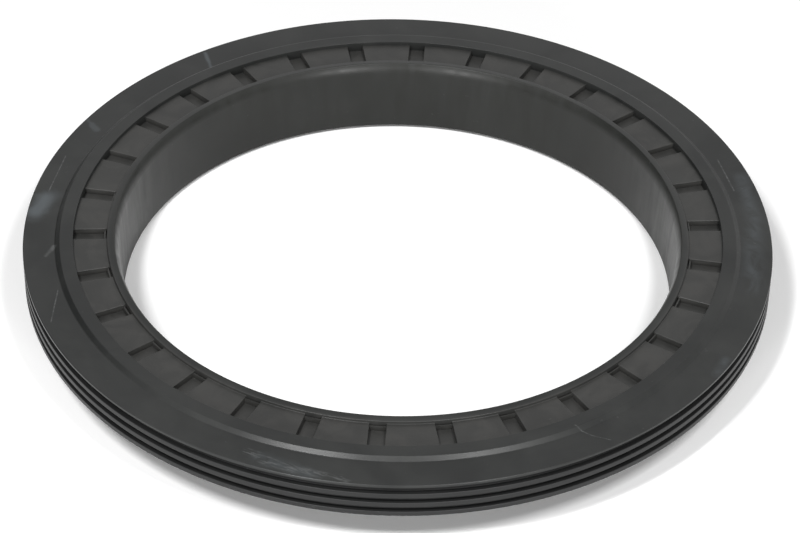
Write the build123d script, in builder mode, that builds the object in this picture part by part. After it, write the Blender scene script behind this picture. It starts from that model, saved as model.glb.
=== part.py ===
"""Radial shaft seal: a moulded rubber ring with a ribbed press-in seat and a sprung lip.

The seal lies on the face of its lip head, with the axis along +Z and the air side up.
All sizes are in millimetres. Heights are named from the base plane, z = 0.
"""
import os

from build123d import *

os.makedirs("parts", exist_ok=True)

# ---------------------------------------------------------------- driving dimensions
# What the seal fits
shaft_d = 150.0  # shaft that turns in the lip
lip_bite = 1.0  # how far the free lip stands inside the shaft's surface
housing_d = 200.0  # bore that the ribbed seat is pressed into

# Heights of the whole ring
flange_z = 20.6  # air-side face of the flange, above the base
seat_height = 10.1  # ribbed seat, measured down from the flange face

# Press-in seat on the outside
edge_land = 0.8  # height of the thin edge of the flange
edge_round = 0.25  # rounding of the flange's edge on the air side
rib_count = 3
rib_pitch = 2.93
rib_crest = 1.4  # height of a rib's flat crest
rib_depth = 1.3
rib_flank = 0.12  # how much each flank of a rib widens towards its root
seat_wall = 7.0  # thickness of the wall that carries the ribs
seat_lead = 0.6  # chamfer on the lower inner corner of that wall

# Raised band on the air side
band_place = 0.4877  # middle of the band, on the way from the dust rim to the housing bore
band_width = 3.75
band_height = 1.0
band_foot = 0.9  # hollow foot of the band on the flange side

# Disc between the seat and the lip, with its ring of slots
disc_thickness = 5.0
disc_corner = 1.5  # hollow corner under the disc, at the seat
slot_count = 30
slot_width = 4.3
slot_depth = 1.7
slot_phase = 3.0  # angle of the first slot from +X
slot_wall = 0.8  # from the dust rim out to the slots
ledge_width = 0.4  # thin ledge that closes each slot towards the rim
ledge_drop = 0.4  # ledge under the disc's face
pit_depth = 1.2  # narrow pit between the ledge and the rim

# Dust rim round the top of the bore
rim_wall = 3.0  # from the throat of the bore out to the rim's outer wall
rim_height = 0.8  # outer edge of the rim above the disc's face
rim_foot = 0.5  # hollow foot of the rim's outer wall
crown_rise = 0.3  # crown of the rim above its outer edge
crown_run = 1.85  # crown of the rim in from its outer edge
throat_drop = 2.2  # throat of the bore under the disc's face

# Sealing lip and its head
throat_taper = 0.7  # radius of the throat over the radius of the lip
lip_land = 1.5  # cylindrical contact band of the lip
bevel_run = 2.1  # oil-side bevel of the lip, along the radius
bevel_rise = 1.2  # oil-side bevel of the lip, along the axis
neck_wall = 2.6  # flexible neck between the disc and the head
neck_corner = 2.5  # hollow corner between the disc and the neck
head_width = 5.9  # from the lip out to the head's outer face
head_height = 5.6
head_slope = 1.5  # height of the slope from the head in to the neck
head_blend = 1.6  # hollow where that slope runs into the neck
head_round = 0.4  # rounding of the head's outer lower edge
bevel_round = 0.3  # rounding between the head's lower face and the bevel

# Garter spring and its groove
spring_d = 3.0  # outside diameter of the spring's coil
spring_z = 3.0  # spring's centre above the base
spring_sink = 0.45  # spring's centre inside the head's outer face
groove_clearance = 0.05

# ---------------------------------------------------------------- derived places
housing_r = housing_d / 2
rib_root_r = housing_r - rib_depth
seat_inner_r = housing_r - seat_wall
seat_base_z = flange_z - seat_height
edge_z = flange_z - edge_land

lip_r = shaft_d / 2 - lip_bite
bevel_r = lip_r + bevel_run
land_top_z = bevel_rise + lip_land
throat_r = lip_r + throat_taper
throat_z = flange_z - throat_drop

rim_outer_r = throat_r + rim_wall
rim_edge_z = flange_z + rim_height
crown_r = rim_outer_r - crown_run
crown_z = rim_edge_z + crown_rise

band_middle_r = rim_outer_r + band_place * (housing_r - rim_outer_r)
band_inner_r = band_middle_r - band_width / 2
band_outer_r = band_middle_r + band_width / 2
band_top_z = flange_z + band_height

slot_inner_r = rim_outer_r + slot_wall
pit_outer_r = slot_inner_r - ledge_width
disc_under_z = flange_z - disc_thickness

neck_r = throat_r + neck_wall
neck_base_z = head_height + head_slope
head_r = lip_r + head_width
spring_ring_r = head_r - spring_sink
groove_r = spring_d / 2 + groove_clearance

# ---------------------------------------------------------------- moulded body
with BuildPart() as seal_body:
    # Half section of the ring, drawn as radius and height and turned round the axis
    with BuildSketch(Plane.XZ) as section:
        with BuildLine():
            # Lip: oil-side bevel, contact band, and the air-side wall up to the throat
            Polyline((bevel_r, 0), (lip_r, bevel_rise), (lip_r, land_top_z), (throat_r, throat_z))
            # Dust rim: rounded out of the throat to its crown, then down to a sharp edge
            TangentArc(
                (throat_r, throat_z),
                (crown_r, crown_z),
                tangent=(throat_r - lip_r, throat_z - land_top_z),
            )
            # Rim's outer wall, disc, raised band, and flange out to its thin edge
            Polyline(
                (crown_r, crown_z),
                (rim_outer_r, rim_edge_z),
                (rim_outer_r, flange_z),
                (band_inner_r, flange_z),
                (band_inner_r, band_top_z),
                (band_outer_r, band_top_z),
                (band_outer_r, flange_z),
                (housing_r, flange_z),
                (housing_r, edge_z),
                (rib_root_r, edge_z - rib_flank),
            )
            # Seat without its ribs, underside of the disc, neck and head
            Polyline(
                (rib_root_r, edge_z - rib_flank),
                (rib_root_r, seat_base_z),
                (seat_inner_r, seat_base_z),
                (seat_inner_r, disc_under_z),
                (neck_r, disc_under_z),
                (neck_r, neck_base_z),
                (head_r, head_height),
                (head_r, 0),
                (bevel_r, 0),
            )
        make_face()

        # Hollow and rounded corners of the moulding, each at its corner of the section
        corners = [
            ((housing_r, flange_z), edge_round),
            ((band_outer_r, flange_z), band_foot),
            ((rim_outer_r, flange_z), rim_foot),
            ((seat_inner_r, disc_under_z), disc_corner),
            ((neck_r, disc_under_z), neck_corner),
            ((neck_r, neck_base_z), head_blend),
            ((head_r, 0), head_round),
            ((bevel_r, 0), bevel_round),
        ]
        for corner, radius in corners:
            fillet(section.vertices().sort_by_distance(corner)[0], radius)
        chamfer(section.vertices().sort_by_distance((seat_inner_r, seat_base_z))[0], seat_lead)

        # Ribs of the press-in seat, the lowest one flush with the seat's base
        for rib in range(rib_count):
            low = seat_base_z + rib * rib_pitch
            root = low - rib_flank if rib else low
            with BuildLine():
                Polyline(
                    (rib_root_r, root),
                    (housing_r, low),
                    (housing_r, low + rib_crest),
                    (rib_root_r, low + rib_crest + rib_flank),
                    close=True,
                )
            make_face()

        # Round groove for the garter spring, open on the head's outer face
        with Locations((spring_ring_r, spring_z)):
            Circle(groove_r, mode=Mode.SUBTRACT)
    revolve(axis=Axis.Z)

    # Ring of slots in the disc. Each has a deep floor, then a thin ledge and a pit at the rim.
    # The cuts start over the rim's hollow foot, so that they leave its outer wall straight.
    for inner_r, outer_r, depth in [
        (slot_inner_r, band_inner_r, slot_depth),
        (pit_outer_r, slot_inner_r, ledge_drop),
        (rim_outer_r, pit_outer_r, pit_depth),
    ]:
        with BuildSketch(Plane.XY.offset(flange_z + rim_foot)):
            with PolarLocations((inner_r + outer_r) / 2, slot_count, start_angle=slot_phase):
                Rectangle(2 * (outer_r - inner_r), slot_width)
            Circle(outer_r, mode=Mode.INTERSECT)
            Circle(inner_r, mode=Mode.SUBTRACT)
        extrude(amount=-rim_foot - depth, mode=Mode.SUBTRACT)

seal_body.part.label = "seal_body"
export_step(seal_body.part, "parts/seal_body.step")

# ---------------------------------------------------------------- garter spring
with BuildPart() as garter_spring:
    with BuildSketch(Plane.XZ):
        with Locations((spring_ring_r, spring_z)):
            Circle(spring_d / 2)
    revolve(axis=Axis.Z)

garter_spring.part.label = "garter_spring"
export_step(garter_spring.part, "parts/garter_spring.step")
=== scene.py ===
# %% [markdown]
# # A radial shaft seal
#
# The object is a large rubber ring that keeps oil in where a shaft leaves its housing.
# Its outside has ribs, which are pressed into the housing. Its inside has a thin lip,
# which a coiled steel spring holds against the shaft. It lies on its lip head here.
#
# The packed model gives the true shape and place of both parts. This lesson models the
# rubber ring again with softer edges, winds the spring as a real coil, and gives both
# of them their finish.

import math

import bmesh
import bpy
from mathutils import Matrix, Vector


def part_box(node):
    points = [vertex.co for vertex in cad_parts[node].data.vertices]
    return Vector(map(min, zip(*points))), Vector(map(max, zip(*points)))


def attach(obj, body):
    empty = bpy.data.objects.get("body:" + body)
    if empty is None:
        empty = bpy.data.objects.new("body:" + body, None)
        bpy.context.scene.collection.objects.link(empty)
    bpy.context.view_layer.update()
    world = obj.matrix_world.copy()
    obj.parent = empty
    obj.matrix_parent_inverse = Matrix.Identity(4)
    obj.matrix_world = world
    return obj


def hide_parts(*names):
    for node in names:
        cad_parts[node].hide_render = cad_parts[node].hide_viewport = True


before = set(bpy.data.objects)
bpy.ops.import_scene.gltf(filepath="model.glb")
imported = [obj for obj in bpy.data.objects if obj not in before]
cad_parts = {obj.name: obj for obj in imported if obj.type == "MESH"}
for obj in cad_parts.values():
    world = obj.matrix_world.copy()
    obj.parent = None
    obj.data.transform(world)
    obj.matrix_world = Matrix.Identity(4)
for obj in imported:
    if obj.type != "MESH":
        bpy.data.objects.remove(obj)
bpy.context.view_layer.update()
seal_low, seal_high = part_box("seal_body")
spring_low, spring_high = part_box("garter_spring")
print("parts of the frame:", sorted(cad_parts))
print("seal from", [round(v, 4) for v in seal_low], "to", [round(v, 4) for v in seal_high])

# %% [markdown]
# ## Sizes
#
# Blender works in metres, and a seal is measured in millimetres, so one constant turns
# one into the other. The outer radius and the height of the ring come from the frame.
# The other sizes are those of the moulding. A rubber moulding is a turned section, so
# the sizes name radii, counted from the axis, and heights, counted from the base.

# %% The ring's sizes
MM = 0.001

band_width = 3.75 * MM
band_rise = 1.0 * MM
rim_rise = 0.8 * MM
crown_rise = 0.3 * MM

# Radii
housing_r = seal_high.x
rib_root_r = housing_r - 1.3 * MM
seat_inner_r = housing_r - 7.0 * MM

lip_r = 74.0 * MM
bevel_r = lip_r + 2.1 * MM
throat_r = lip_r + 0.7 * MM
neck_r = throat_r + 2.6 * MM
head_r = lip_r + 5.9 * MM

rim_r = throat_r + 3.0 * MM
crown_r = rim_r - 1.85 * MM
pit_r = rim_r + 0.4 * MM
slot_r = rim_r + 0.8 * MM
band_middle_r = rim_r + 0.4877 * (housing_r - rim_r)
band_inner_r = band_middle_r - band_width / 2
band_outer_r = band_middle_r + band_width / 2

# Heights
flange_z = seal_high.z - rim_rise - crown_rise
throat_z = flange_z - 2.2 * MM
rim_edge_z = flange_z + rim_rise
crown_z = rim_edge_z + crown_rise
band_top_z = flange_z + band_rise
edge_z = flange_z - 0.8 * MM
seat_base_z = flange_z - 10.1 * MM
disc_under_z = flange_z - 5.0 * MM
head_z = 5.6 * MM
neck_base_z = head_z + 1.5 * MM
land_low_z = 1.2 * MM
land_top_z = land_low_z + 1.5 * MM

# Ribs, the chamfer under them, and the slope on the band's outer side
rib_count = 3
rib_pitch = 2.93 * MM
rib_crest = 1.4 * MM
rib_flank = 0.12 * MM
seat_lead = 0.6 * MM
slope_start = 0.12 * MM
slope_end = 1.08 * MM

print("lip radius", lip_r, "rim radius", round(rim_r, 5), "flange height", round(flange_z, 5))

# %% The slots and the spring
slot_count = 30
slot_width = 4.3 * MM
slot_depth = 1.7 * MM
ledge_drop = 0.4 * MM
pit_depth = 1.2 * MM
first_slot = math.radians(3.0)
pad_round = 0.6 * MM
sector = math.tau / slot_count
sector_steps = 14

coil_r = (spring_high.z - spring_low.z) / 2
spring_ring_r = spring_high.x - coil_r
spring_z = (spring_high.z + spring_low.z) / 2
groove_r = coil_r + 0.05 * MM
groove_steps = 12
print("one slot every", round(math.degrees(sector), 1), "degrees")

# %% [markdown]
# ## The section of the ring
#
# A mould for such a ring is cut on a lathe, so every edge but the slots goes right
# round. The natural way to model it is the same: draw half the section once and turn it
# round the axis. The section is a circle primitive whose points are put on the corners,
# in order round the section. Then the corners are rounded with the bevel operator, which
# works on points as well as on edges. Rubber has no knife edges: even its sharp corners
# get a rounding of a tenth of a millimetre, because that is where light catches.

# %% Helpers for edit mode
near = 0.01 * MM


def pick(kind, wanted):
    """Select the points, edges or faces of the edited mesh for which wanted() is true."""
    mesh = bmesh.from_edit_mesh(bpy.context.object.data)
    bpy.ops.mesh.select_all(action="DESELECT")
    bpy.ops.mesh.select_mode(type={"verts": "VERT", "edges": "EDGE", "faces": "FACE"}[kind])
    chosen = [part for part in getattr(mesh, kind) if wanted(part)]
    for part in chosen:
        part.select_set(True)
    mesh.select_flush_mode()
    bmesh.update_edit_mesh(bpy.context.object.data)
    return len(chosen)


def radius_of(point):
    """Distance of a point from the ring's axis."""
    return math.hypot(point.x, point.y)


def arc_points(start, heading, end, steps):
    """Points on the arc that leaves start with this heading and arrives at end."""
    chord = Vector(end) - Vector(start)
    turn = Vector(heading).angle_signed(chord)
    arc_r = chord.length / (2 * math.sin(abs(turn)))
    places = []
    for step in range(1, steps):
        part = turn * step / steps
        reach = 2 * arc_r * math.sin(abs(part))
        direction = Vector(heading).normalized()
        direction.rotate(Matrix.Rotation(-part, 2))
        places.append(Vector(start) + reach * direction)
    return places


# %% The corners of the section
# Each corner is a radius, a height and a rounding. They run from the lip up the bore,
# over the rim and the band, down the ribs, and back under the disc to the head.
sharp = 0.10 * MM
rubbed = 0.15 * MM
edge_round = 0.25 * MM
small = 0.3 * MM
band_round = 0.6 * MM
throat_steps = 8
throat_tangent = (throat_r - lip_r, throat_z - land_top_z)

corners = [
    (bevel_r, 0, small),
    (lip_r, land_low_z, 0.05 * MM),
    (lip_r, land_top_z, 0),
    (throat_r, throat_z, 0),
]
for place in arc_points((throat_r, throat_z), throat_tangent, (crown_r, crown_z), throat_steps):
    corners.append((place.x, place.y, 0))
corners += [
    (crown_r, crown_z, edge_round),
    (rim_r, rim_edge_z, rubbed),
    (rim_r, flange_z, rubbed),
    (pit_r, flange_z, 0),
    (slot_r, flange_z, 0),
    (band_inner_r, flange_z, 0),
    (band_inner_r, band_top_z, sharp),
    (band_outer_r - slope_start, band_top_z, band_round),
    (band_outer_r + slope_end, flange_z, band_round),
    (housing_r, flange_z, edge_round),
    (housing_r, edge_z, sharp),
    (rib_root_r, edge_z - rib_flank, sharp),
]
for rib in reversed(range(rib_count)):
    low = seat_base_z + rib * rib_pitch
    corners.append((rib_root_r, low + rib_crest + rib_flank, sharp))
    corners.append((housing_r, low + rib_crest, rubbed))
    corners.append((housing_r, low, rubbed))
    if rib:
        corners.append((rib_root_r, low - rib_flank, sharp))
corners += [
    (seat_inner_r + seat_lead, seat_base_z, sharp),
    (seat_inner_r, seat_base_z + seat_lead, sharp),
    (seat_inner_r, disc_under_z, 1.5 * MM),
    (neck_r, disc_under_z, 2.5 * MM),
    (neck_r, neck_base_z, 1.2 * MM),
    (head_r, head_z, sharp),
]
groove_reach = math.acos((head_r - spring_ring_r) / groove_r)
for step in range(groove_steps + 1):
    around = groove_reach + (math.tau - 2 * groove_reach) * step / groove_steps
    groove_x = spring_ring_r + groove_r * math.cos(around)
    groove_y = spring_z + groove_r * math.sin(around)
    corners.append((groove_x, groove_y, 0))
corners.append((head_r, 0, 0.4 * MM))
print("corners of the section:", len(corners))

# %% Draw the section and round its corners
bpy.ops.object.select_all(action="DESELECT")
bpy.ops.mesh.primitive_circle_add(vertices=len(corners), radius=housing_r, fill_type="NOTHING")
seal_ring = bpy.context.object
seal_ring.name = seal_ring.data.name = "moulded_ring"
bpy.ops.object.mode_set(mode="EDIT")

sector_start = Matrix.Rotation(-sector / 2, 3, "Z")
outline = bmesh.from_edit_mesh(seal_ring.data)
outline.verts.ensure_lookup_table()
for point, (radius, height, rounding) in zip(outline.verts, corners):
    point.co = sector_start @ Vector((radius, 0, height))
bmesh.update_edit_mesh(seal_ring.data)

for index, (radius, height, rounding) in enumerate(corners):
    if not rounding:
        continue
    before = Vector(corners[index - 1][:2])
    after = Vector(corners[(index + 1) % len(corners)][:2])
    here = Vector((radius, height))
    half_angle = (before - here).angle(after - here) / 2
    corner = sector_start @ Vector((radius, 0, height))
    pick("verts", lambda point: (point.co - corner).length < near / 10)
    bpy.ops.mesh.bevel(
        offset=rounding / math.tan(half_angle),
        segments=5 if rounding > small else 3,
        affect="VERTICES",
    )
print("points of the rounded section:", len(bmesh.from_edit_mesh(seal_ring.data).verts))

# %% [markdown]
# ## One sector with its slot
#
# The disc between the rim and the band has thirty slots, and the ring is the same in
# each twelve degrees. So the section is spun through one sector only, the slot is cut
# there once, and the finished sector is repeated. Spinning the whole ring first would
# mean cutting thirty slots. A boolean could cut them as well, but it leaves long thin
# faces that shade badly, while extruded faces stay clean.
#
# The slot's sides are parallel, and the mesh's own lines fan out from the axis. The
# bisect operator draws the two straight sides across the disc, and the faces between
# them are pushed down in three steps: all of them to the ledge, then the outer ones to
# the slot's floor, then the inner ones to the bottom of the pit beside the rim.

# %% Spin one sector
# The operator turns clockwise for a positive angle, so the angle is negative here.
bpy.ops.mesh.select_all(action="SELECT")
bpy.ops.mesh.spin(steps=sector_steps, angle=-sector, center=(0, 0, 0), axis=(0, 0, 1))
angles = [math.atan2(v.co.y, v.co.x) for v in bmesh.from_edit_mesh(seal_ring.data).verts]
print("sector from", round(math.degrees(min(angles)), 2), "to", round(math.degrees(max(angles)), 2))


# %% Cut the slot's sides into the disc
disc_start_r = rim_r - 0.2 * MM
foot_top_z = flange_z + 0.4 * MM


def on_the_disc(face):
    """True for a face of the disc between the rim and the band, with the rim's foot."""
    middle = face.calc_center_median()
    inside = disc_start_r < radius_of(middle) < band_inner_r + near
    at_height = flange_z - near < middle.z < foot_top_z
    upright = abs(face.normal.z) < 0.03
    return inside and at_height and not upright


for side in (-1, 1):
    pick("faces", on_the_disc)
    bpy.ops.mesh.bisect(plane_co=(0, side * slot_width / 2, 0), plane_no=(0, 1, 0))


# %% Push the slot down in three steps
def over_the_slot(face):
    """True for a face of the disc between the slot's two sides."""
    return on_the_disc(face) and abs(face.calc_center_median().y) < slot_width / 2


def at_ledge_height(face, inner_r, outer_r):
    """True for a flat face of the slot at the height of its ledge, between two radii."""
    middle = face.calc_center_median()
    across = abs(middle.y) < slot_width / 2 and middle.x > 0
    flat = abs(middle.z - ledge_z) < near and abs(face.normal.z) > 0.7
    return across and inner_r < radius_of(middle) < outer_r and flat


def push_down(depth, floor_z):
    """Extrude the selected faces downwards and press the new floor flat."""
    bpy.ops.mesh.extrude_region_move(TRANSFORM_OT_translate={"value": (0, 0, -depth)})
    bpy.ops.transform.resize(value=(1, 1, 0), center_override=(0, 0, floor_z))


ledge_z = flange_z - ledge_drop
count = pick("faces", over_the_slot)
push_down(ledge_drop, ledge_z)
outer_count = pick("faces", lambda face: at_ledge_height(face, slot_r, band_inner_r))
push_down(slot_depth - ledge_drop, flange_z - slot_depth)
inner_count = pick("faces", lambda face: at_ledge_height(face, disc_start_r, pit_r))
push_down(pit_depth - ledge_drop, flange_z - pit_depth)
print("faces pushed down:", count, "then", outer_count, "and", inner_count)


# %% Round the long edges of the pads
def along_the_slot(edge):
    """True for an edge between a pad's top and the slot's side wall."""
    one, other = (point.co for point in edge.verts)
    on_side = all(abs(abs(place.y) - slot_width / 2) < near for place in (one, other))
    at_top = all(abs(place.z - flange_z) < near for place in (one, other))
    outside = min(radius_of(one), radius_of(other)) > slot_r - near
    return on_side and at_top and outside and one.x > 0


rounded = pick("edges", along_the_slot)
bpy.ops.mesh.bevel(offset=pad_round, segments=4, affect="EDGES", clamp_overlap=True)
print("pad edges rounded:", rounded)

# %% [markdown]
# ## The whole ring
#
# The spin operator can also repeat what is selected without joining the steps. That
# turns the one sector into thirty. The points where two sectors meet lie on each other,
# so they are merged, and only then are the normals recalculated, because they can point
# either way before the surface is closed. The weighted normal modifier lets the large
# faces keep their flat look, while the small roundings beside them carry the highlight.

# %% Repeat the sector and close the ring
bpy.ops.mesh.select_all(action="SELECT")
bpy.ops.mesh.spin(
    steps=slot_count - 1,
    dupli=True,
    angle=sector * (slot_count - 1),
    center=(0, 0, 0),
    axis=(0, 0, 1),
)
bpy.ops.mesh.select_all(action="SELECT")
bpy.ops.mesh.remove_doubles(threshold=near / 5)
bpy.ops.mesh.normals_make_consistent(inside=False)
closed = bmesh.from_edit_mesh(seal_ring.data)
open_edges = sum(1 for edge in closed.edges if not edge.is_manifold)
print("open edges of the ring:", open_edges)
bpy.ops.object.mode_set(mode="OBJECT")

# %% Turn it to its place and finish the surface
seal_ring.rotation_euler.z = first_slot
bpy.ops.object.transform_apply(location=True, rotation=True, scale=True)
bpy.ops.object.shade_smooth_by_angle(angle=math.radians(40))
bpy.ops.object.modifier_add(type="WEIGHTED_NORMAL")
weighting = seal_ring.modifiers[-1]
weighting.keep_sharp = True
bpy.ops.object.modifier_apply(modifier=weighting.name)

seal_ring.data.calc_loop_triangles()
solid = bmesh.new()
solid.from_mesh(seal_ring.data)
millilitres = solid.calc_volume() * 1e6
solid.free()
print("triangles:", len(seal_ring.data.loop_triangles), "volume in ml:", round(millilitres, 1))

# %% [markdown]
# ## The garter spring
#
# The spring is a long closely wound coil, bent into a ring and joined end to end. Each
# turn touches the next. A coil could be modelled turn by turn, but one curve that winds
# round the ring is how the wire really runs, and it closes on itself when the number of
# turns is whole. The curve gets its round wire from a bevel and then becomes a mesh.

# %% Wind the coil
wire_r = 0.27 * MM
wind_r = coil_r - wire_r
turn_pitch = 2.06 * wire_r
turns = math.floor(math.tau * spring_ring_r / turn_pitch)
points_per_turn = 9

bpy.ops.object.select_all(action="DESELECT")
bpy.ops.curve.primitive_bezier_circle_add(radius=spring_ring_r)
spring_coil = bpy.context.object
spring_coil.name = spring_coil.data.name = "spring_coil"
spring_coil.data.splines.clear()
wire = spring_coil.data.splines.new("POLY")
wire.points.add(turns * points_per_turn - 1)
for index, point in enumerate(wire.points):
    around_ring = math.tau * index / (turns * points_per_turn)
    around_coil = math.tau * index / points_per_turn
    reach = spring_ring_r + wind_r * math.cos(around_coil)
    height = spring_z + wind_r * math.sin(around_coil)
    point.co = (reach * math.cos(around_ring), reach * math.sin(around_ring), height, 1)
wire.use_cyclic_u = True
spring_coil.data.dimensions = "3D"
spring_coil.data.bevel_depth = wire_r
spring_coil.data.bevel_resolution = 1
spring_coil.data.use_fill_caps = False
bpy.ops.object.convert(target="MESH")
spring_coil = bpy.context.object
bpy.ops.object.shade_smooth()
spring_coil.data.calc_loop_triangles()
print("turns:", turns, "triangles:", len(spring_coil.data.loop_triangles))

# %% [markdown]
# ## Writing a finish as sums
#
# A finish is worked out from the place on the surface: how far from the axis a point is,
# how near to a scuff, how the grain runs. That is arithmetic, and it reads best as
# arithmetic. The small class below wraps one socket, so that adding or multiplying two
# of them adds the Math node that does it. Every other node comes from one method.


# %% A socket that can be added and multiplied
class Field:
    """One number or colour of a finish, which varies over the surface."""

    def __init__(self, finish, socket):
        self.finish = finish
        self.socket = socket

    def _math(self, operation, first, second):
        settings = {"operation": operation}
        return self.finish.node("ShaderNodeMath", settings, {0: first, 1: second})

    def __add__(self, other):
        return self._math("ADD", self, other)

    __radd__ = __add__

    def __sub__(self, other):
        return self._math("SUBTRACT", self, other)

    def __rsub__(self, other):
        return self._math("SUBTRACT", other, self)

    def __mul__(self, other):
        return self._math("MULTIPLY", self, other)

    __rmul__ = __mul__

    def __truediv__(self, other):
        return self._math("DIVIDE", self, other)

    def __pow__(self, other):
        return self._math("POWER", self, other)

    def above(self, low, high):
        """0 under low, 1 over high, and smooth between them."""
        settings = {"interpolation_type": "SMOOTHSTEP", "clamp": True}
        sockets = {"Value": self, "From Min": low, "From Max": high}
        return self.finish.node("ShaderNodeMapRange", settings, sockets)

    def at_most(self, other):
        return self._math("MINIMUM", self, other)

    def at_least(self, other):
        return self._math("MAXIMUM", self, other)


# %% A finish, with one method for any node
class Finish:
    """A material, its shader and the nodes that are worked out for it."""

    def __init__(self, name):
        self.material = bpy.data.materials.new(name)
        self.material.use_nodes = True
        self.tree = self.material.node_tree
        self.shader = self.tree.nodes["Principled BSDF"]
        self.place = self.node("ShaderNodeTexCoord", {}, {}, "Object")

    def node(self, kind, settings, sockets, output=0):
        """Add a node, apply its settings, feed its sockets and return one output."""
        made = self.tree.nodes.new(kind)
        for key, value in settings.items():
            setattr(made, key, value)
        for key, value in sockets.items():
            self.feed(made.inputs[key], value)
        return Field(self, made.outputs[output])

    def feed(self, socket, value):
        """Link a field to a socket, or set the socket to a plain value."""
        if isinstance(value, Field):
            self.tree.links.new(value.socket, socket)
        else:
            socket.default_value = value

    def axis(self, letter):
        """One coordinate of the place, in millimetres."""
        return self.node("ShaderNodeSeparateXYZ", {}, {0: self.place}, letter) * (1 / MM)

    def point(self, x, y, z):
        return self.node("ShaderNodeCombineXYZ", {}, {"X": x, "Y": y, "Z": z})

    def noise(self, where, scale=1.0, detail=3.0, rough=0.5, warp=0.0):
        """Cloudy noise from 0 to 1, about 0.5 on average."""
        sockets = {"Vector": where, "Scale": scale, "Detail": detail}
        sockets |= {"Roughness": rough, "Distortion": warp}
        return self.node("ShaderNodeTexNoise", {}, sockets, "Fac")

    def blend(self, amount, first, second):
        """A colour between two colours."""
        settings = {"data_type": "RGBA"}
        sockets = {"Factor": amount, 6: first, 7: second}
        return self.node("ShaderNodeMix", settings, sockets, 2)

    def bump(self, height, distance, strength):
        """A normal that is tilted as if the surface had this height, times distance."""
        sockets = {"Strength": strength, "Distance": distance, "Height": height}
        return self.node("ShaderNodeBump", {}, sockets)


print("methods of a finish:", [name for name in vars(Finish) if not name.startswith("_")])

# %% [markdown]
# ## Black rubber
#
# Nitrile rubber comes out of its mould matt and nearly black. What makes it look real is
# on its surface. A fine grain breaks up the shine. Wax blooms to the surface in clouds
# and turns it slightly blue, and the top of the disc between the rim and the band is a
# paler grey in patches. Handling leaves light scuffs and a few scratches on the flange,
# the part that stands out. Light and shade are painted in too: the slots' walls lie in
# shade and get a painted light grey, and the ribs' outer side gets a painted shade that
# darkens it, standing in for a dimmer reflection. Each of these is a mask from 0 to 1,
# and the masks are mixed into the colour and the roughness at the end.

# %% Places on the ring
# x, y, z and the marks further down are in millimetres. The noises that take the plain
# place have it in metres, so their scales are counts to the metre.
rubber = Finish("moulded_rubber")
x, y, z = rubber.axis("X"), rubber.axis("Y"), rubber.axis("Z")
from_axis = (x * x + y * y) ** 0.5
top_mm = flange_z / MM
edge_mm = edge_z / MM
rim_mm = rim_r / MM
band_mm = band_inner_r / MM
rib_root_mm = rib_root_r / MM

# %% The clouds and the grain
clouds = rubber.noise(rubber.place, scale=45.0, detail=4.0, rough=0.55, warp=0.6)
patches = rubber.noise(rubber.place, scale=110.0, rough=0.6, warp=1.2)
grain = rubber.noise(rubber.place, scale=2600.0, detail=2.0, rough=0.6)
specks = rubber.noise(rubber.place, scale=700.0, detail=2.0, rough=0.7).above(0.70, 0.78)
gaps = rubber.noise(rubber.place, scale=900.0, detail=2.0, rough=0.6).above(0.42, 0.62)
broken = 0.3 + 0.7 * gaps

# Stretched noises: long up the bore, long along the scuffs, and round with the lathe
up_the_bore = rubber.point(x * 0.30, y * 0.30, z * 0.05)
along_scuffs = rubber.point(x * 0.35 + y * 0.15, y * 1.6 + x * 0.7, z)
round_the_axis = rubber.point(from_axis * 2.2, z * 2.2, x * 0.02)
wiped = rubber.noise(up_the_bore, rough=0.6, warp=0.4)
streaks = rubber.noise(along_scuffs, rough=0.7).above(0.46, 0.62)
turned = rubber.noise(round_the_axis, rough=0.6)


# %% Marks left by handling
facing_up = (z - (top_mm - 0.4)).above(0.0, 0.2)


def smear(start, end, width, ragged, lift):
    """A soft patch along a line on the flange: 1 in its middle, 0 outside its width.

    ragged says how far the clouds push its outline about, as a share of the width, and
    lift over what share of the width it fades.
    """
    run = Vector(end) - Vector(start)
    along = ((x - start[0]) * run.x + (y - start[1]) * run.y) / run.length_squared
    along = along.at_least(0.0).at_most(1.0)
    away_x = x - start[0] - along * run.x
    away_y = y - start[1] - along * run.y
    away = (away_x * away_x + away_y * away_y) ** 0.5
    away = away + (patches - 0.5) * (2 * ragged * width)
    return (1 - away.above(width * (1 - lift), width)) * facing_up


def many(masks):
    """The strongest of several masks."""
    strongest = masks[0]
    for mask in masks[1:]:
        strongest = strongest.at_least(mask)
    return strongest


bloom = many([
    smear((-94.0, 12.0), (-98.0, 3.0), 4.4, 0.7, 0.9),
    smear((94.0, 26.0), (96.5, 4.0), 4.0, 0.8, 0.95),
    smear((95.5, 2.0), (93.0, -22.0), 4.4, 0.8, 0.95),
    smear((84.0, -51.0), (81.5, -56.5), 2.2, 0.8, 0.95),
    smear((-33.0, -91.0), (-20.0, -96.5), 3.6, 1.0, 0.95),
])
strokes = many([
    smear((-56.7, 80.6), (-54.6, 73.7), 0.9, 0.5, 0.9) * 0.8,
    smear((-88.1, 47.8), (-84.5, 42.3), 1.1, 1.2, 0.95) * 0.45,
    smear((-95.6, 11.0), (-97.4, 5.0), 3.7, 0.7, 0.95),
])
scuffs = many([
    smear((-92.9, -14.0), (-91.2, -10.0), 0.9, 0.9, 0.95) * (0.4 + 0.6 * broken),
    smear((-36.0, -88.5), (-25.0, -95.5), 2.0, 0.9, 0.9) * streaks,
    smear((-31.0, -92.5), (-12.0, -98.0), 1.8, 0.9, 0.9) * streaks,
])
scratches = many([
    smear((44.7, -77.9), (48.8, -80.5), 0.22, 0.4, 0.9),
    smear((48.8, -80.5), (53.4, -82.0), 0.18, 0.4, 0.9),
    smear((-88.3, -28.1), (-88.8, -41.0), 0.25, 0.5, 0.9),
    smear((88.0, 34.0), (91.5, 20.0), 0.30, 0.6, 0.9),
    smear((-92.0, 30.0), (-95.0, 14.0), 0.22, 0.6, 0.9),
]) * broken
print("nodes with the marks:", len(rubber.tree.nodes))

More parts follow.
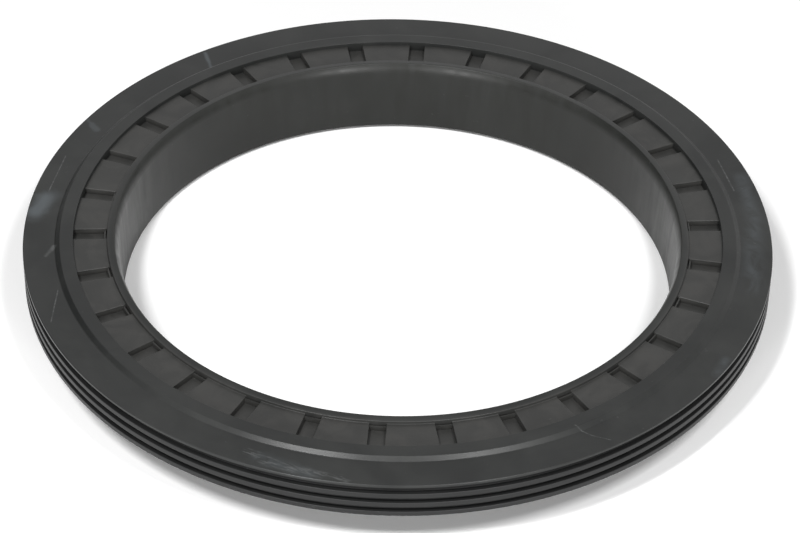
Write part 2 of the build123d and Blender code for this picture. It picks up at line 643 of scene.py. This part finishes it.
# %% Zones of the section
# Each zone is bounded by radii and heights, with a soft border between two of them.
past_rim = from_axis.above(rim_mm - 1.0, rim_mm + 0.5)
before_band = 1 - from_axis.above(band_mm - 0.6, band_mm + 0.1)
disc_zone = past_rim * before_band
on_top = (z - (top_mm - 2.5)).above(0.0, 0.4)
# Paler grey in patches on the upward faces of the disc between the rim and the band, which are also
# made rougher.
pale_disc_top = disc_zone * on_top * (0.5 + 0.5 * patches.above(0.35, 0.7))

# Painted light: the slot walls and the pits beside the rim lie in shade, and this mask paints them
# a lighter grey.
above_floor = (z - (top_mm - 1.62)).above(0.0, 0.04)
under_pads = 1 - (z - (top_mm - 0.60)).above(0.0, 0.15)
painted_wall_light = disc_zone * (above_floor * under_pads)

bore = 1 - from_axis.above(rim_mm - 2.2, rim_mm - 0.6)

# Painted shade: the ribs' outer side is painted darker, standing in for the dimmer reflection that
# it shows; the same mask also makes it rougher.
at_ribs = from_axis.above(rib_root_mm - 0.3, rib_root_mm)
under_edge = 1 - (z - (edge_mm - 0.1)).above(0.0, 0.1)
seat = at_ribs * under_edge
print("disc from", round(rim_mm, 2), "to", round(band_mm, 2), "mm")

# %% Mix the rubber's colour
deep_black = (0.0130, 0.0137, 0.0134, 1.0)
worn_black = (0.0220, 0.0229, 0.0221, 1.0)
pale_disc_grey = (0.0420, 0.0412, 0.0392, 1.0)
# Painted light for the shaded slot walls and pits.
painted_wall_light_grey = (0.0420, 0.0415, 0.0392, 1.0)
bore_black = (0.0125, 0.0129, 0.0112, 1.0)
# Painted shade for the ribs' outer side.
painted_rib_shade = (0.0075, 0.0075, 0.0078, 1.0)
bloom_blue = (0.0700, 0.0790, 0.0850, 1.0)
scuff_grey = (0.1500, 0.1550, 0.1550, 1.0)
worn_through = many([scuffs * 0.35, scratches * 0.40, specks * 0.12])

tone = rubber.blend(clouds.above(0.3, 0.7), deep_black, worn_black)
for amount, colour in [
    (pale_disc_top * 0.8, pale_disc_grey),
    (painted_wall_light * 0.8, painted_wall_light_grey),
    (bore * (1.1 - wiped), bore_black),
    (seat * 0.7, painted_rib_shade),
    (bloom * patches.above(0.30, 0.75) * 0.55, bloom_blue),
    (strokes * 0.85, bloom_blue),
    (worn_through, scuff_grey),
]:
    tone = rubber.blend(amount, tone, colour)
rubber.feed(rubber.shader.inputs["Base Color"], tone)
print("nodes with the colour:", len(rubber.tree.nodes))

# %% Mix its shine and its relief
roughness = 0.33 + 0.10 * (clouds - 0.5) + 0.08 * (patches - 0.5)
roughness = roughness + 0.10 * pale_disc_top - 0.05 * scuffs
roughness = roughness + (0.30 * wiped - 0.09) * bore + 0.10 * seat
rubber.feed(rubber.shader.inputs["Roughness"], roughness)
rubber.shader.inputs["IOR"].default_value = 1.5
rubber.shader.inputs["Specular IOR Level"].default_value = 0.24

relief = grain * 0.6 + turned * 0.5 + scratches * 0.8
rubber.feed(rubber.shader.inputs["Normal"], rubber.bump(relief, distance=0.03 * MM, strength=0.55))
print("nodes in the rubber:", len(rubber.tree.nodes))

# %% [markdown]
# ## Spring wire
#
# The spring is drawn steel wire. Drawing leaves it bright, with fine lines along the
# wire and a trace of the oil that it was stored in. It hides under the head, so a little
# variation in its shine is enough.

# %% Mix the steel
steel = Finish("drawn_wire")
oily = steel.noise(steel.place, scale=160.0)
fine = steel.noise(steel.place, scale=3000.0, detail=2.0)
bright_wire = (0.47, 0.46, 0.44, 1.0)
oiled_wire = (0.34, 0.33, 0.31, 1.0)
steel_tone = steel.blend(oily.above(0.4, 0.65), bright_wire, oiled_wire)
steel.feed(steel.shader.inputs["Base Color"], steel_tone)
steel.feed(steel.shader.inputs["Roughness"], 0.26 + 0.14 * oily + 0.06 * fine)
steel.shader.inputs["Metallic"].default_value = 1.0
steel.feed(steel.shader.inputs["Normal"], steel.bump(fine, distance=0.01 * MM, strength=0.4))
print("nodes in the steel:", len(steel.tree.nodes))

# %% [markdown]
# ## Dress the frame
#
# Each new piece rides on the frame's only body and stands for the part that it replaces.


# %% Give each piece its finish and its place
def dress(piece, finish, node_name):
    """Give a piece its finish, and say what it rides on and what it stands for."""
    piece.data.materials.clear()
    piece.data.materials.append(finish.material)
    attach(piece, "root")
    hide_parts(node_name)
    print(piece.name, "stands for", node_name)


dress(seal_ring, rubber, "seal_body")
dress(spring_coil, steel, "garter_spring")

# %% [markdown]
# ## Floor and background
#
# The ring lies on a plain pale floor that runs out to white. Black rubber shows its
# shape only by what it reflects, so the floor matters as much as the lamps: the bore's
# walls are seen at a flat angle and mirror the white around them. The camera and the
# reflections see the floor and the surroundings brighter than they are as light on the
# ring. So the floor runs out to white and holds the ring's shadow, and the rubber stays
# black.


# %% Tell seeing rays from lighting rays
def seen(tree):
    """A socket that is 1 for the rays of camera, gloss and glass, and 0 for others."""
    path = tree.nodes.new("ShaderNodeLightPath")
    socket = path.outputs["Is Camera Ray"]
    for kind in ("Is Glossy Ray", "Is Transmission Ray"):
        either = tree.nodes.new("ShaderNodeMath")
        either.operation = "MAXIMUM"
        tree.links.new(socket, either.inputs[0])
        tree.links.new(path.outputs[kind], either.inputs[1])
        socket = either.outputs[0]
    return socket


# %% Lay the floor
floor_size = 1.6
lighting_paper = (0.80, 0.80, 0.80, 1.0)
seen_paper = (1.06, 1.06, 1.06, 1.0)

bpy.ops.object.select_all(action="DESELECT")
bpy.ops.mesh.primitive_plane_add(size=floor_size, location=(0, 0, 0))
floor = bpy.context.object
floor.name = "floor"

paper = Finish("white_paper")
paper_tone = paper.blend(Field(paper, seen(paper.tree)), lighting_paper, seen_paper)
soft_floor = paper.node("ShaderNodeBsdfDiffuse", {}, {"Color": paper_tone}, "BSDF")
paper.feed(paper.tree.nodes["Material Output"].inputs["Surface"], soft_floor)
floor.data.materials.append(paper.material)
print("floor of", floor_size, "m")

# %% Surround it with white
lighting_world = 0.18
seen_world = 1.0

world = bpy.data.worlds.new("studio")
bpy.context.scene.world = world
world.use_nodes = True
sky = world.node_tree
level = sky.nodes.new("ShaderNodeMapRange")
level.inputs["To Min"].default_value = lighting_world
level.inputs["To Max"].default_value = seen_world
sky.links.new(seen(sky), level.inputs["Value"])
background = sky.nodes["Background"]
background.inputs["Color"].default_value = (1.0, 1.0, 1.0, 1.0)
sky.links.new(level.outputs["Result"], background.inputs["Strength"])
print("world lights at", lighting_world)

# %% [markdown]
# ## Lamps
#
# Four small strip lamps light the ring and give it its highlights. A highlight shows
# where a surface mirrors a lamp, so each lamp's place follows from the surface that it
# should light up. The high pair stands over the camera, and the slope on the band's outer
# side mirrors it at the front of the ring. The low pair stands beside the camera, below
# its height, and the rounded throat mirrors it at the back of the bore.


# %% Hang the lamps
lamp_distance = 1.15
lamp_width = 0.12


def toward(azimuth, rise):
    """The direction from the ring to a place, by its angles in degrees.

    The azimuth is counted from the front, positive to the right.
    """
    turn, lift = math.radians(azimuth), math.radians(rise)
    outward = Vector((math.sin(turn), -math.cos(turn), 0)) * math.cos(lift)
    return outward + Vector((0, 0, math.sin(lift)))


def strip_lamp(name, azimuth, rise, height, power):
    """A rectangular lamp that stands round the ring and looks at it."""
    direction = toward(azimuth, rise)
    bpy.ops.object.light_add(type="AREA", location=lamp_distance * direction)
    lamp = bpy.context.object
    lamp.name = name
    lamp.data.shape = "RECTANGLE"
    lamp.data.size = lamp_width
    lamp.data.size_y = height
    lamp.data.energy = power
    lamp.rotation_euler = direction.to_track_quat("Z", "Y").to_euler()


strip_lamp("high_left", -33.0, 58.0, height=0.25, power=8.5)
strip_lamp("high_right", 33.0, 58.0, height=0.25, power=5.6)
strip_lamp("low_left", -22.0, 10.0, height=0.36, power=7.0)
strip_lamp("low_right", 22.0, 10.0, height=0.36, power=6.6)

# %% [markdown]
# ## A black card
#
# The band's outer side is a slope, and it mirrors whatever stands beyond it. With white
# all round, the slope on the left would look like the flange beside it. A black card on
# that side draws it as a dark line. The card is there for reflections only: the camera
# doesn't see it, it takes no light from the floor and it throws no shadow.

# %% Stand a black card beside the ring
card_distance = 1.3
card_width, card_height = 1.7, 0.85

bpy.ops.object.select_all(action="DESELECT")
card_direction = toward(-118.0, 20.0)
bpy.ops.mesh.primitive_plane_add(
    size=1.0,
    location=card_distance * card_direction,
    rotation=card_direction.to_track_quat("Z", "Y").to_euler(),
)
card = bpy.context.object
card.name = "black_card"
card.scale = (card_width, card_height, 1.0)
card.visible_camera = False
card.visible_shadow = False
card.visible_diffuse = False
card_black = Finish("card_black")
card_black.shader.inputs["Base Color"].default_value = (0.02, 0.02, 0.02, 1.0)
card_black.shader.inputs["Roughness"].default_value = 0.9
card.data.materials.append(card_black.material)
print("card of", card_width, "by", card_height, "m")

# %% [markdown]
# ## Camera
#
# The camera looks down at the ring at a little under forty degrees, from close by, with
# a long lens. The ring's centre lies slightly off the middle of the frame, so the camera
# is first aimed at it and then turned by the small angle that puts it there.

# %% Place the camera
frame_width, frame_height = 800, 533
frame_middle = (frame_width / 2, frame_height / 2)
lens_px = 2986.7
aim_px = (398.14, 229.72)
camera_distance = 0.8
camera_rise = math.radians(38.280)
camera_roll = math.radians(1.094)

target = Vector((0, 0, flange_z))
place = target + camera_distance * Vector((0, -math.cos(camera_rise), math.sin(camera_rise)))
forward = (target - place).normalized()
right = Vector((1, 0, 0))
up = right.cross(forward)
aimed = Matrix((right, up, forward)).transposed()
aim_x = (aim_px[0] - frame_middle[0]) / lens_px
aim_y = (frame_middle[1] - aim_px[1]) / lens_px
swing = Vector((aim_x, aim_y, 1)).rotation_difference(Vector((0, 0, 1))).to_matrix()
turned_view = aimed @ Matrix.Rotation(camera_roll, 3, "Z") @ swing
back = turned_view @ Matrix.Diagonal((1, 1, -1))

bpy.ops.object.camera_add(location=place)
camera = bpy.context.object
camera.name = "camera"
camera.rotation_euler = back.to_euler()
camera.data.sensor_fit = "HORIZONTAL"
camera.data.sensor_width = 36.0
camera.data.lens = lens_px * camera.data.sensor_width / frame_width
camera.data.clip_start = 0.01
bpy.context.scene.camera = camera
print("camera at", [round(v, 3) for v in place], "lens", round(camera.data.lens, 1))

# %% Finish
bpy.context.scene.view_settings.view_transform = "Standard"
